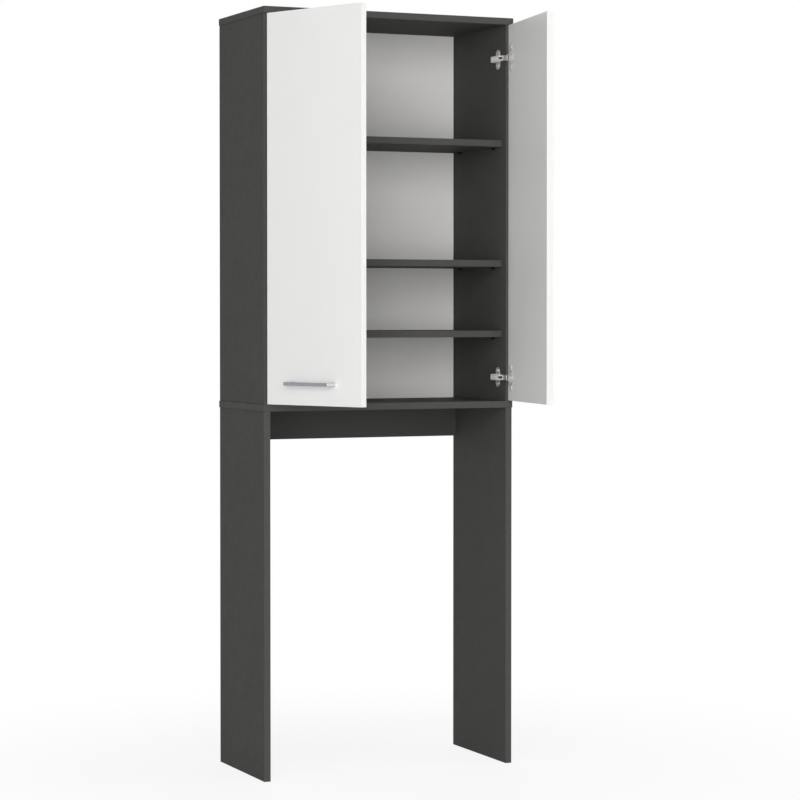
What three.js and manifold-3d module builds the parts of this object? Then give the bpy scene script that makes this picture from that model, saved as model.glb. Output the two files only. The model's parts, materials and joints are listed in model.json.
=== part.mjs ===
// Bathroom cabinet that stands over a low appliance: two tall lower sides carry a two-door
// upper cabinet with three shelves. Millimetres, +Z up, the front looks along -Y.
// The doors hang on concealed cup hinges and are shown part open.
import * as THREE from 'three';
import { mergeVertices } from 'three/addons/utils/BufferGeometryUtils.js';
import Module from 'manifold-3d';

// Carcass
const cabinetWidth = 640; // over the side boards
const cabinetHeight = 1800;
const sideDepth = 300;
const board = 16; // thickness of every melamine board
const hardboard = 3; // thickness of the back panel
const bayHeight = 862; // floor to the underside of the middle board
const middleOverhang = 2; // middle board beyond each side
const topOverhang = 1.5; // top board beyond each side
const topForward = 4.5; // top board beyond the front of the sides
const backInset = 2; // back panel inside the outline that it is nailed to
const railHeight = 80; // cross rail between the lower sides

// Shelves
const lowCompartment = 154; // clear height of the two lowest compartments
const topShelfDrop = 1; // top shelf under the middle of the space that it divides
const shelfSetback = 20; // shelf fronts behind the fronts of the sides
const shelfEndGap = 1; // shelf ends to the sides
const shelfBackGap = 1; // shelf to the back panel
const pinRadius = 2.5;
const pinSeat = 8; // length of a shelf pin inside its side board
const pinReach = 9; // length of a shelf pin under the shelf
const pinCollarRadius = 3.6;
const pinCollar = 0.8; // thickness of the collar
const pinInset = 45; // pin axes from the front and rear edge of a shelf

// Dowels
const dowelRadius = 4;
const dowelSeat = 7; // length of a dowel in each board beyond the one it crosses
const blindSeat = 10; // length of a dowel in a blind hole
const railSeat = 20; // length of a rail dowel inside the rail
const dowelInset = 45; // dowel axes from the front and rear edge of a side

// Doors
const doorSideGap = 2; // door to side board, closed
const doorMiddleGap = 2; // between the two closed doors
const doorReveal = 1.5; // above and below a door
const leftDoorOpen = 66.5; // degrees open as shown
const rightDoorOpen = 80.8; // degrees open as shown
const pivotInset = 15.3; // turning axis into the side board from its inner face
const pivotSetback = 4.8; // turning axis behind the front of the sides

// Concealed hinges
const upperHingeDrop = 78.5; // hinge centre under the top of the door
const lowerHingeRise = 55.5; // hinge centre over the bottom of the door
const cupRadius = 17.2;
const cupDepth = 11.5;
const cupWall = 1;
const cupEdgeMargin = 5; // door edge to the cup bore
const flangeRadius = 18.8;
const flangeThick = 1.2;
const flangeLength = 62;
const flangeWing = 13; // width of the two flange wings
const cheekStart = 1; // hinge edge of the door to the cheeks beside the link
const cheekEnd = 14;
const cheekRise = 5.2; // top of the cheeks over the inside of the door
const cheekThick = 1.2;
const cheekCorner = 2.4;
const cupScrewSpacing = 48;
const cupScrewRadius = 1.8;
const cupScrewLength = 9;
const plateSetback = 41; // plate centre behind the front of the sides
const plateFront = 18; // front of the plate before its centre
const plateRear = 10;
const plateWidth = 15;
const plateThick = 5;
const wingHeight = 48;
const wingDepth = 20;
const wingThick = 2.4;
const plateScrewSpacing = 32;
const plateScrewRadius = 2.2;
const plateScrewLength = 10;
const armWidth = 15;
const armWall = 1.6;
const armFront = 22.5; // front of the arm's channel behind the front of the sides
const armRear = 52;
const armTongue = 12.6; // width of the forked tongue that holds the link's pin
const armSlotReach = 3; // slot for the link's neck, behind the pin
const linkPinRise = 13.5; // link pin above the side board
const linkPinSetback = 8.5; // link pin behind the front of the sides
const linkPinRadius = 1;
const linkEyeRadius = 2.2;
const linkEndRadius = 1.6;
const linkStrap = 2.6; // thickness of the link between its ends
const linkLength = 23; // between the link's two axes
const linkWidth = 12.6;
const linkNeckWidth = 5;
const linkNeckReach = 5; // neck, past the pin
const linkTurnRatio = 1.45; // link turn for each unit of door turn

// Handles
const handleLength = 142;
const handleHeight = 8;
const handleStandoff = 26; // front of the bar to the door
const handleBar = 6; // thickness of the bar
const handleLeg = 14;
const handleShift = 2; // middle of the handle from the middle of the door, towards the hinge
const handleCorner = 2.5; // radius of the bar's outer corners
const handleRise = 49.3; // bar axis over the bottom of the door
const handleScrewRadius = 2;
const handleScrewHeadRadius = 4;
const handleScrewHead = 2.4;
const handleScrewGrip = 11; // length of the screw inside the leg

// Clearances
const seatGap = 0.3; // pieces that seat on each other in a turned group
const holeGap = 0.15; // around dowels, pins and screws
const cutPast = 1; // overrun of a cut past the face that it opens

// Facets of a full circle
const boreSides = 12;
const cupSides = 32;
const cornerSides = 5;

// Worked out
const halfWidth = cabinetWidth / 2;
const innerHalf = halfWidth - board; // to the inner face of a side
const middleTop = bayHeight + board;
const topUnder = cabinetHeight - board;
const doorWidth = (2 * innerHalf - 2 * doorSideGap - doorMiddleGap) / 2;
const doorBottom = middleTop + doorReveal;
const doorTop = topUnder - doorReveal;
const railFront = sideDepth - board;
const cupBoreRadius = cupRadius + seatGap;
const cupInset = cupEdgeMargin + cupBoreRadius; // cup axis from the door edge
const hingeHeights = { upper: doorTop - upperHingeDrop, lower: doorBottom + lowerHingeRise };
const handleAxis = doorBottom + handleRise;
const handleHoleSpacing = handleLength - handleLeg;
const handleMiddle = doorWidth / 2 - handleShift; // from the hinge edge of the door
const armRise = linkPinRise + linkEyeRadius; // outer face of the arm above the side board
const dowelRows = { front: dowelInset, rear: sideDepth - dowelInset };
const pinRows = { front: shelfSetback + pinInset, rear: sideDepth - shelfBackGap - pinInset };
const sideSigns = { left: -1, right: 1 };

// Undersides of the shelves. The two lower ones make low compartments, and the top one divides
// the space that is left.
const shelfLevels = {};
shelfLevels.bottom = middleTop + lowCompartment;
shelfLevels.middle = shelfLevels.bottom + board + lowCompartment;
const tallCompartment = (topUnder - shelfLevels.middle - 2 * board) / 2 - topShelfDrop;
shelfLevels.top = shelfLevels.middle + board + tallCompartment;

// Materials
const finish = (color, roughness, metalness = 0) =>
  new THREE.MeshStandardMaterial({ color, roughness, metalness });
const anthracite = finish(0x474847, 0.6);
const white = finish(0xe9eaea, 0.45);
const paleBack = finish(0xd6d5d2, 0.7);
const nickel = finish(0xb4b3b0, 0.35, 0.9);
const brushedMetal = finish(0xa2a4aa, 0.4, 0.9);
const beech = finish(0xc7a271, 0.8);
const zinc = finish(0xb9bbbd, 0.45, 0.8);

const wasm = await Module();
wasm.setup();

// A closed three.js geometry as a solid that can be joined and cut
function solid(geometry) {
  const bare = geometry.clone();
  bare.deleteAttribute('normal');
  bare.deleteAttribute('uv');
  const merged = mergeVertices(bare);
  return new wasm.Manifold(new wasm.Mesh({
    numProp: 3,
    vertProperties: new Float32Array(merged.attributes.position.array),
    triVerts: new Uint32Array(merged.index.array),
  }));
}

function geometryOf(body) {
  const { vertProperties, triVerts } = body.getMesh();
  const geometry = new THREE.BufferGeometry();
  geometry.setAttribute('position', new THREE.BufferAttribute(vertProperties, 3));
  geometry.setIndex(new THREE.BufferAttribute(triVerts, 1));
  return geometry;
}

// Box between two values on each axis, given in either order
function block([x0, x1], [y0, y1], [z0, z1]) {
  const box = new THREE.BoxGeometry(Math.abs(x1 - x0), Math.abs(y1 - y0), Math.abs(z1 - z0));
  box.translate((x0 + x1) / 2, (y0 + y1) / 2, (z0 + z1) / 2);
  return solid(box);
}

// Round bar along an axis ('x', 'y' or 'z') between two values on that axis
function bar(axis, radius, [from, to], [first, second], sides = boreSides) {
  const rod = new THREE.CylinderGeometry(radius, radius, Math.abs(to - from), sides);
  const middle = (from + to) / 2;
  if (axis === 'x') {
    rod.rotateZ(Math.PI / 2);
    rod.translate(middle, first, second);
  } else if (axis === 'y') {
    rod.translate(first, middle, second);
  } else {
    rod.rotateX(Math.PI / 2);
    rod.translate(first, second, middle);
  }
  return solid(rod);
}

// Outline in the XY plane carried up from z0 to z1
function prism(outline, [z0, z1]) {
  const shape = new THREE.ExtrudeGeometry(outline, {
    depth: z1 - z0,
    bevelEnabled: false,
    curveSegments: cornerSides,
  });
  shape.translate(0, 0, z0);
  return solid(shape);
}

const cutAll = (body, cutters) => cutters.reduce((rest, cutter) => rest.subtract(cutter), body);
const joinAll = (bodies) => bodies.reduce((whole, body) => whole.add(body));

function place(parent, name, body, material) {
  const piece = new THREE.Mesh(geometryOf(body), material);
  piece.name = name;
  parent.add(piece);
}

const cabinet = new THREE.Group();
const carcass = new THREE.Group();
cabinet.add(carcass);

// Side boards, with the bores for dowels, shelf pins and hinge plates

function sideSpan(sign) {
  return [sign * innerHalf, sign * halfWidth];
}

const dowelX = (sign) => sign * (innerHalf + board / 2);

function verticalDowelBores(sign, [z0, z1]) {
  return Object.values(dowelRows).map((y) =>
    bar('z', dowelRadius + holeGap, [z0, z1], [dowelX(sign), y]));
}

function addLowerSide(side, sign) {
  const body = block(sideSpan(sign), [0, sideDepth], [0, bayHeight]);
  const railBore = bar('x', dowelRadius + holeGap,
    [sign * (innerHalf - cutPast), sign * (innerHalf + blindSeat + holeGap)],
    [railFront + board / 2, bayHeight - railHeight / 2]);
  const bores = verticalDowelBores(sign, [bayHeight - dowelSeat - holeGap, bayHeight + cutPast]);
  place(carcass, `lower_side_${side}`, cutAll(body, [...bores, railBore]), anthracite);
}

function addUpperSide(side, sign) {
  const body = block(sideSpan(sign), [0, sideDepth], [middleTop, topUnder]);
  const inward = [sign * (innerHalf - cutPast), sign * (innerHalf + pinSeat + holeGap)];
  const pinBores = Object.values(shelfLevels).flatMap((level) =>
    Object.values(pinRows).map((y) =>
      bar('x', pinRadius + holeGap, inward, [y, level - pinRadius - holeGap])));
  const plateBores = Object.values(hingeHeights).flatMap((height) =>
    [-1, 1].map((end) => bar('x', plateScrewRadius + seatGap,
      [sign * (innerHalf - cutPast), sign * (innerHalf + plateScrewLength + seatGap)],
      [plateSetback, height + end * plateScrewSpacing / 2])));
  const bores = [
    ...verticalDowelBores(sign, [middleTop - cutPast, middleTop + dowelSeat + holeGap]),
    ...verticalDowelBores(sign, [topUnder - railSeat - holeGap, topUnder + cutPast]),
  ];
  place(carcass, `upper_side_${side}`, cutAll(body, [...pinBores, ...plateBores, ...bores]), anthracite);
}

// Boards that cross the cabinet

function addMiddleBoard() {
  const reach = halfWidth + middleOverhang;
  const body = block([-reach, reach], [0, sideDepth], [bayHeight, middleTop]);
  const bores = Object.values(sideSigns).flatMap((sign) =>
    verticalDowelBores(sign, [bayHeight - cutPast, middleTop + cutPast]));
  place(carcass, 'middle_board', cutAll(body, bores), anthracite);
}

function addTopBoard() {
  const reach = halfWidth + topOverhang;
  const body = block([-reach, reach], [-topForward, sideDepth], [topUnder, cabinetHeight]);
  const bores = Object.values(sideSigns).flatMap((sign) =>
    verticalDowelBores(sign, [topUnder - cutPast, topUnder + blindSeat + holeGap]));
  place(carcass, 'top_board', cutAll(body, bores), anthracite);
}

function addBackPanel() {
  const reach = halfWidth - backInset;
  place(carcass, 'back_panel', block([-reach, reach], [sideDepth, sideDepth + hardboard],
    [bayHeight + backInset, cabinetHeight - backInset]), paleBack);
}

function addRearRail() {
  const body = block([-innerHalf, innerHalf], [railFront, sideDepth], [bayHeight - railHeight, bayHeight]);
  const bores = Object.values(sideSigns).map((sign) => bar('x', dowelRadius + holeGap,
    [sign * (innerHalf - railSeat - holeGap), sign * (innerHalf + cutPast)],
    [railFront + board / 2, bayHeight - railHeight / 2]));
  place(carcass, 'rear_rail', cutAll(body, bores), anthracite);
}

function addShelf(name, level) {
  const reach = innerHalf - shelfEndGap;
  place(carcass, `shelf_${name}`, block([-reach, reach],
    [shelfSetback, sideDepth - shelfBackGap], [level, level + board]), anthracite);
}

// Shelf pin: a stem in the side board, a thin collar and a stub under the shelf
function addShelfPin(name, sign, y, level) {
  const z = level - pinRadius - holeGap;
  const stem = [sign * (innerHalf + pinSeat), sign * (innerHalf - pinReach)];
  const collar = [sign * innerHalf, sign * (innerHalf - pinCollar)];
  const body = bar('x', pinRadius, stem, [y, z]).add(bar('x', pinCollarRadius, collar, [y, z]));
  place(carcass, name, body, zinc);
}

// Dowels that join the boards

function addDowels(side, sign) {
  for (const [row, y] of Object.entries(dowelRows)) {
    const at = [dowelX(sign), y];
    place(carcass, `middle_dowel_${side}_${row}`,
      bar('z', dowelRadius, [bayHeight - dowelSeat, middleTop + dowelSeat], at), beech);
    place(carcass, `top_dowel_${side}_${row}`,
      bar('z', dowelRadius, [topUnder - railSeat, topUnder + blindSeat], at), beech);
  }
  place(carcass, `rail_dowel_${side}`, bar('x', dowelRadius,
    [sign * (innerHalf - railSeat), sign * (innerHalf + blindSeat)],
    [railFront + board / 2, bayHeight - railHeight / 2]), beech);
}

// Concealed hinge, fixed half: a cross-shaped plate on the side board and the arm on it.
// `rise` is measured from the side board's inner face towards the middle of the cabinet.

const riseX = (sign, rise) => sign * (innerHalf - rise);

function addHingePlate(name, sign, height) {
  const rail = block([riseX(sign, 0), riseX(sign, plateThick)],
    [plateSetback - plateFront, plateSetback + plateRear],
    [height - plateWidth / 2, height + plateWidth / 2]);
  const wings = new THREE.Shape();
  const flat = wingHeight / 2 - wingDepth / 2;
  wings.absarc(0, flat, wingDepth / 2, 0, Math.PI);
  wings.absarc(0, -flat, wingDepth / 2, Math.PI, 2 * Math.PI);
  const wingPlate = new THREE.ExtrudeGeometry(wings, {
    depth: wingThick,
    bevelEnabled: false,
    curveSegments: 2 * cornerSides,
  });
  // The outline's X runs along the cabinet's depth and its Y runs up
  wingPlate.rotateX(Math.PI / 2);
  wingPlate.rotateZ(Math.PI / 2);
  const wingBack = sign > 0 ? innerHalf - wingThick : -innerHalf;
  wingPlate.translate(wingBack, plateSetback, height);
  const screws = [-1, 1].map((end) => bar('x', plateScrewRadius,
    [riseX(sign, wingThick), riseX(sign, -plateScrewLength)],
    [plateSetback, height + end * plateScrewSpacing / 2]));
  place(carcass, name, joinAll([rail, solid(wingPlate), ...screws]), nickel);
}

function addHingeArm(name, sign, height) {
  const half = armWidth / 2;
  const tongueHalf = armTongue / 2;
  const foot = plateThick + seatGap;
  const inside = [height - half + armWall, height + half - armWall];
  const outer = block([riseX(sign, foot), riseX(sign, armRise)], [armFront, armRear],
    [height - half, height + half]);
  const channel = block([riseX(sign, 0), riseX(sign, armRise - armWall)],
    [armFront - cutPast, armRear + cutPast], inside);
  // The saddle closes the channel over the middle of the plate
  const saddle = block([riseX(sign, foot), riseX(sign, armRise)],
    [plateSetback - wingDepth / 2, plateSetback + wingDepth / 2], inside);
  const tongue = block([riseX(sign, linkPinRise - linkEyeRadius), riseX(sign, armRise)],
    [linkPinSetback, plateSetback], [height - tongueHalf, height + tongueHalf]);
  const eye = bar('z', linkEyeRadius, [height - tongueHalf, height + tongueHalf],
    [riseX(sign, linkPinRise), linkPinSetback]);
  const pinBore = bar('z', linkPinRadius + seatGap, [height - armWidth, height + armWidth],
    [riseX(sign, linkPinRise), linkPinSetback]);
  const slotHalf = linkNeckWidth / 2 + seatGap;
  const slot = block([riseX(sign, 0), riseX(sign, armRise + cutPast)],
    [linkPinSetback - linkEyeRadius - cutPast, linkPinSetback + armSlotReach],
    [height - slotHalf, height + slotHalf]);
  const arm = joinAll([outer.subtract(channel), saddle, tongue, eye]);
  place(carcass, name, cutAll(arm, [pinBore, slot]), nickel);
}

// Concealed hinge, link: a strap with a narrow neck and its own pin. Drawn along +X with the pin
// at the origin, and turned about the pin with the door.
function addHingeLink(parent, name, height) {
  const half = linkWidth / 2;
  const span = [height - half, height + half];
  const neckSpan = [height - linkNeckWidth / 2, height + linkNeckWidth / 2];
  const eye = bar('z', linkEyeRadius, neckSpan, [0, 0]);
  const neck = block([0, linkNeckReach + linkStrap], [-linkStrap / 2, linkStrap / 2], neckSpan);
  const strap = block([linkNeckReach, linkLength], [-linkStrap / 2, linkStrap / 2], span);
  const end = bar('z', linkEndRadius, span, [linkLength, 0]);
  const pin = bar('z', linkPinRadius, span, [0, 0]);
  place(parent, name, joinAll([eye, neck, strap, end, pin]), nickel);
}

// Doors. A door is drawn closed, in the cabinet's own coordinates, inside a group whose origin is
// its turning axis, so one turn of the group opens it.
// `from` is measured from the door's hinge edge towards its free edge.

function doorX(sign, from) {
  return sign * (innerHalf - doorSideGap - from);
}

function addDoorPanel(parent, name, sign) {
  const body = block([doorX(sign, 0), doorX(sign, doorWidth)], [0, board], [doorBottom, doorTop]);
  const cutters = [];
  for (const height of Object.values(hingeHeights)) {
    cutters.push(bar('y', cupBoreRadius, [board - cupDepth - seatGap, board + cutPast],
      [doorX(sign, cupInset), height], cupSides));
    for (const end of [-1, 1]) {
      cutters.push(bar('y', cupScrewRadius + seatGap, [board - cupScrewLength - seatGap, board + cutPast],
        [doorX(sign, cupInset), height + end * cupScrewSpacing / 2]));
    }
  }
  for (const end of [-1, 1]) {
    cutters.push(bar('y', handleScrewRadius + seatGap, [-cutPast, board + cutPast],
      [doorX(sign, handleMiddle + end * handleHoleSpacing / 2), handleAxis]));
  }
  place(parent, name, cutAll(body, cutters), white);
}

function addHingeCup(parent, name, sign, height) {
  const face = board + seatGap; // the flange's underside
  const floor = board - cupDepth;
  const x = doorX(sign, cupInset);
  const pot = bar('y', cupRadius, [floor, face + flangeThick], [x, height], cupSides);
  const flange = bar('y', flangeRadius, [face, face + flangeThick], [x, height], cupSides);
  const wings = block([doorX(sign, cupInset - flangeWing / 2), doorX(sign, cupInset + flangeWing / 2)],
    [face, face + flangeThick], [height - flangeLength / 2, height + flangeLength / 2]);
  const screws = [-1, 1].map((end) => bar('y', cupScrewRadius, [board - cupScrewLength, face + flangeThick],
    [x, height + end * cupScrewSpacing / 2]));
  const hollow = bar('y', cupRadius - cupWall, [floor + cupWall, face + flangeThick + cutPast],
    [x, height], cupSides);
  const notchHalf = linkWidth / 2 + seatGap;
  const notch = block([doorX(sign, 0), doorX(sign, cupInset)],
    [floor + cupWall, face + flangeThick + cutPast], [height - notchHalf, height + notchHalf]);
  const cheeks = [-1, 1].map((end) => hingeCheek(sign,
    height + end * (notchHalf + cheekThick / 2), face));
  const dish = cutAll(joinAll([pot, flange, wings, ...screws]), [hollow, notch]);
  place(parent, name, joinAll([dish, ...cheeks]), nickel);
}

// Upright cheek on the cup's flange, beside the end of the link
function hingeCheek(sign, middle, face) {
  const top = board + cheekRise;
  const [low, high] = [cheekStart, cheekEnd].map((from) => doorX(sign, from)).sort((a, b) => a - b);
  const outline = new THREE.Shape();
  outline.moveTo(low, face);
  outline.lineTo(high, face);
  outline.absarc(high - cheekCorner, top - cheekCorner, cheekCorner, 0, Math.PI / 2);
  outline.absarc(low + cheekCorner, top - cheekCorner, cheekCorner, Math.PI / 2, Math.PI);
  outline.closePath();
  return prism(outline, [middle - cheekThick / 2, middle + cheekThick / 2]);
}

function addHandle(parent, name, sign) {
  const middle = doorX(sign, handleMiddle);
  const half = handleLength / 2;
  const front = -handleStandoff;
  const outline = new THREE.Shape();
  outline.moveTo(middle - half, -seatGap);
  outline.lineTo(middle - half, front + handleCorner);
  outline.absarc(middle - half + handleCorner, front + handleCorner, handleCorner, Math.PI, 1.5 * Math.PI);
  outline.lineTo(middle + half - handleCorner, front);
  outline.absarc(middle + half - handleCorner, front + handleCorner, handleCorner, 1.5 * Math.PI, 2 * Math.PI);
  outline.lineTo(middle + half, -seatGap);
  outline.lineTo(middle + half - handleLeg, -seatGap);
  outline.lineTo(middle + half - handleLeg, front + handleBar);
  outline.lineTo(middle - half + handleLeg, front + handleBar);
  outline.lineTo(middle - half + handleLeg, -seatGap);
  outline.closePath();
  const body = prism(outline, [handleAxis - handleHeight / 2, handleAxis + handleHeight / 2]);
  const bores = [-1, 1].map((end) => bar('y', handleScrewRadius + seatGap,
    [-handleScrewGrip - seatGap, cutPast], [middle + end * handleHoleSpacing / 2, handleAxis]));
  place(parent, name, cutAll(body, bores), brushedMetal);
}

function addHandleScrew(parent, name, sign, end) {
  const x = doorX(sign, handleMiddle + end * handleHoleSpacing / 2);
  const face = board + seatGap;
  const shank = bar('y', handleScrewRadius, [-handleScrewGrip, face + handleScrewHead], [x, handleAxis]);
  const head = bar('y', handleScrewHeadRadius, [face, face + handleScrewHead], [x, handleAxis]);
  place(parent, name, shank.add(head), zinc);
}

function addDoor(side, sign, openDegrees) {
  const pivot = [sign * (innerHalf + pivotInset), pivotSetback];
  const turn = sign * THREE.MathUtils.degToRad(openDegrees);
  const swing = new THREE.Group();
  swing.position.set(...pivot, 0);
  swing.rotation.z = turn;
  const leaf = new THREE.Group();
  leaf.position.set(-pivot[0], -pivot[1], 0);
  swing.add(leaf);
  cabinet.add(swing);
  addDoorPanel(leaf, `door_${side}`, sign);
  addHandle(leaf, `handle_${side}`, sign);
  for (const [edge, end] of [['hinge', -1], ['free', 1]]) {
    addHandleScrew(leaf, `handle_screw_${side}_${edge}`, sign, end);
  }
  for (const [level, height] of Object.entries(hingeHeights)) {
    addHingeCup(leaf, `hinge_cup_${side}_${level}`, sign, height);
  }
  // The links point towards the middle of the cabinet when the door is closed
  const links = new THREE.Group();
  links.position.set(riseX(sign, linkPinRise), linkPinSetback, 0);
  links.rotation.z = (sign < 0 ? 0 : Math.PI) + linkTurnRatio * turn;
  cabinet.add(links);
  for (const [level, height] of Object.entries(hingeHeights)) {
    addHingeLink(links, `hinge_link_${side}_${level}`, height);
  }
}

addMiddleBoard();
addTopBoard();
addBackPanel();
addRearRail();
for (const [name, level] of Object.entries(shelfLevels)) {
  addShelf(name, level);
}
for (const [side, sign] of Object.entries(sideSigns)) {
  addLowerSide(side, sign);
  addUpperSide(side, sign);
  addDowels(side, sign);
  for (const [name, level] of Object.entries(shelfLevels)) {
    for (const [row, y] of Object.entries(pinRows)) {
      addShelfPin(`shelf_pin_${name}_${side}_${row}`, sign, y, level);
    }
  }
  for (const [level, height] of Object.entries(hingeHeights)) {
    addHingePlate(`hinge_plate_${side}_${level}`, sign, height);
    addHingeArm(`hinge_arm_${side}_${level}`, sign, height);
  }
}
addDoor('left', sideSigns.left, leftDoorOpen);
addDoor('right', sideSigns.right, rightDoorOpen);

// The origin is the middle of the footprint as shown, on the floor
cabinet.updateMatrixWorld(true);
const middleOfAll = new THREE.Box3().setFromObject(cabinet, true).getCenter(new THREE.Vector3());
cabinet.position.set(-middleOfAll.x, -middleOfAll.y, 0);

export default cabinet;
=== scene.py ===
"""Tall bathroom cabinet with two doors above an open bay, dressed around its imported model.

The frame gives every size and place. Boards are eased at their edges and banded, doors are white
melamine, and the concealed hinges, handles, screws, shelf pins and nails are drawn as metal parts.
All lengths are metres.
"""
import json
import math
from collections import namedtuple

import bmesh
import bpy
import numpy as np
from bpy.props import FloatProperty, FloatVectorProperty, PointerProperty
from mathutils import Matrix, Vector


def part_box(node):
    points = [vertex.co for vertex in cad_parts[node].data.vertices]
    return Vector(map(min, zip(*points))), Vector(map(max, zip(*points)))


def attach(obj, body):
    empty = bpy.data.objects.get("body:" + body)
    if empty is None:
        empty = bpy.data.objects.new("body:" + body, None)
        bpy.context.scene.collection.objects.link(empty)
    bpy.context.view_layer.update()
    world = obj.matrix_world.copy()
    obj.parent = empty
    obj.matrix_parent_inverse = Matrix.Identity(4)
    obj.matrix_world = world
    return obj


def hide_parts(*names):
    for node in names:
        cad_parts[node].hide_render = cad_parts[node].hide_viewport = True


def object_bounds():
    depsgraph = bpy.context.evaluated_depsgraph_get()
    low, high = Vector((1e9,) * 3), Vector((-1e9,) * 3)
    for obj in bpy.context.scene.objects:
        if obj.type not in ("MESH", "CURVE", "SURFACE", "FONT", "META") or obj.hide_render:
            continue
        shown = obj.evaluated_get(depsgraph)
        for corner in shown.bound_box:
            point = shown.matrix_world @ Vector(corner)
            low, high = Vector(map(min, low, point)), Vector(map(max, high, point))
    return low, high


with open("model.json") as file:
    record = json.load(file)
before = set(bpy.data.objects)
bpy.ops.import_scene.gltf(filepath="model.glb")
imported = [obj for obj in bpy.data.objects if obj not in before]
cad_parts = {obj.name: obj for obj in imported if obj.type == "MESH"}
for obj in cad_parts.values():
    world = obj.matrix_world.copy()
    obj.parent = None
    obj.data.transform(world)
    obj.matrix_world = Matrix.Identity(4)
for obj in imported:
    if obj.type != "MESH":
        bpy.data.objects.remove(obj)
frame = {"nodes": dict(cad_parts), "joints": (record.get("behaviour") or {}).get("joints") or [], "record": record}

bl_info = {
    "name": "Bathroom cabinet",
    "version": (1, 0, 0),
    "blender": (4, 5, 0),
    "location": "3D View > Sidebar > Cabinet",
    "description": "Dresses a tall two-door bathroom cabinet: boards, doors, handles and hinges",
    "category": "Object",
}

packed_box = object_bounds()

SIDES = {"left": -1, "right": 1}
LEVELS = ("upper", "lower")
SHELVES = ("bottom", "middle", "top")
ROWS = ("front", "rear")
BOARDS = ["middle_board", "top_board", "rear_rail"]
BOARDS += [f"{part}_side_{side}" for part in ("lower", "upper") for side in SIDES]
BOARDS += [f"shelf_{shelf}" for shelf in SHELVES]

# Directions of the cabinet
RIGHT, REAR, UP = (1, 0, 0), (0, 1, 0), (0, 0, 1)

# Facets
RIM_STEPS = 3  # of a quarter turn on an eased edge
CORNER_STEPS = 6  # of a quarter turn in an outline
ROUND_STEPS = 40  # of a full turn
PIN_STEPS = 24  # of a full turn on a shelf pin
SMALL_STEPS = 16  # of a full turn on a nail or a screw's shank
FLANGE_STEPS = 160  # along a hinge cup's flange
SHARP_ANGLE = math.radians(40)
FLAT_ANGLE = math.radians(0.5)  # between triangles that are one face
MERGE_DISTANCE = 1e-6
SAME_PLACE = 1e-5

# Least cosines between a face's normal and an axis
SQUARE_ON = 0.9  # a board's broad face and its edge radius next to it
TOWARDS = 0.7  # a board's rear edge, the panel's inner face or a door's face
HANDLE_END = 0.8

# Shelf pins and nails
PIN_RADIUS = 0.0025
PIN_TIP = 0.0006
COLLAR_RADIUS = 0.0036
COLLAR_THICK = 0.0008
NAIL_HEAD_RADIUS = 0.0024
NAIL_HEAD_RISE = 0.0004
NAIL_CROWN_RADIUS = 0.7 * NAIL_HEAD_RADIUS
NAIL_CROWN_RISE = 0.9 * NAIL_HEAD_RISE

# Hinge plate
WING_HEIGHT = 0.048
WING_DEPTH = 0.02
WING_THICK = 0.0024
WING_CORNER = 0.0098
PLATE_WIDTH = 0.015
PLATE_THICK = 0.005
PLATE_FRONT = 0.018  # front of the plate before its middle
PLATE_REAR = 0.01
PLATE_SCREW_SPACING = 0.032
PLATE_SCREW_RADIUS = 0.0042
PLATE_SCREW_RISE = 0.0015
PLATE_SCREW_SLOT = (0.8, 0.6)  # shares of two directions, to the rear and up, that it points in

# Hinge arm
ARM_FRONT = 0.0162  # from the front of the ears to the channel
ARM_WALL = 0.0016
ARM_CORNER = 0.0022
ARM_SLOT = 0.0056  # between the ears
ARM_SLOT_DEPTH = 0.0052
EAR_REACH = 0.0063  # outer faces of the ears from the middle of the arm
EAR_LAP = 0.004  # of the ears with the channel
EAR_DROP = 0.0002  # top of the ears under the channel's outer face
EAR_EDGE_SHARE = 0.9  # of the radius of the metal's edges
EYE_RADIUS = 0.0022
EAR_CORNER = 0.9 * EYE_RADIUS
BLOCK_LENGTH = 0.021  # of the block inside the arm's rear
BLOCK_INSET = 0.9 * ARM_WALL  # laps the arm's walls
FIX_SCREW_RADIUS = 0.0036
FIX_SCREW_RISE = 0.0011
FIX_SCREW_SETBACK = 0.0065  # fixing screw from the rear of the arm
SIDE_SCREW_RADIUS = 0.0027
SIDE_SCREW_RISE = 0.0007
SIDE_SCREW_SETBACK = 0.0245
ARM_SCREW_SLOT = (0.9, 0.44)

# Hinge link
LINK_STRAP = 0.0026
LINK_END_RADIUS = 0.0016
LINK_PIN_RADIUS = 0.001
LINK_PIN_RISE = 0.0135  # over the side board's inner face
LINK_NECK_WIDTH = 0.005
LINK_NECK_THICK = 0.96 * LINK_STRAP
LINK_NECK_REACH = 0.005  # from the pin to the wide part
LINK_BOW = 0.0011  # of the strap's middle towards the door's face
LINK_THIN = 0.8 * LINK_STRAP  # thickness of the bowed part

# Hinge cup
CUP_RADIUS = 0.0172
CUP_WALL = 0.001
CUP_FLOOR_FILLET = 0.002
FLANGE_RADIUS = 0.0188
FLANGE_THICK = 0.0012
FLANGE_WING = 0.013
FLANGE_REACH = 0.031  # half of the flange's length
FLANGE_EDGE = 0.0037  # flange to the door's edge
FLANGE_CORNER = 0.0035
FLANGE_NOTCH = 0.0132
CUP_SCREW_SPACING = 0.048
CUP_SCREW_RADIUS = 0.0036
CUP_SCREW_RISE = 0.0006
CUP_SCREW_SLOT = (0.87, 0.5)
CHEEK_REACH = (0.001, 0.014)  # from the hinge edge of the door
CHEEK_THICK = 0.0012
CHEEK_CORNER = 0.0024
CHEEK_ABOVE_FLANGE = 0.0049  # top of the cheeks over the underside of the flange

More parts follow.
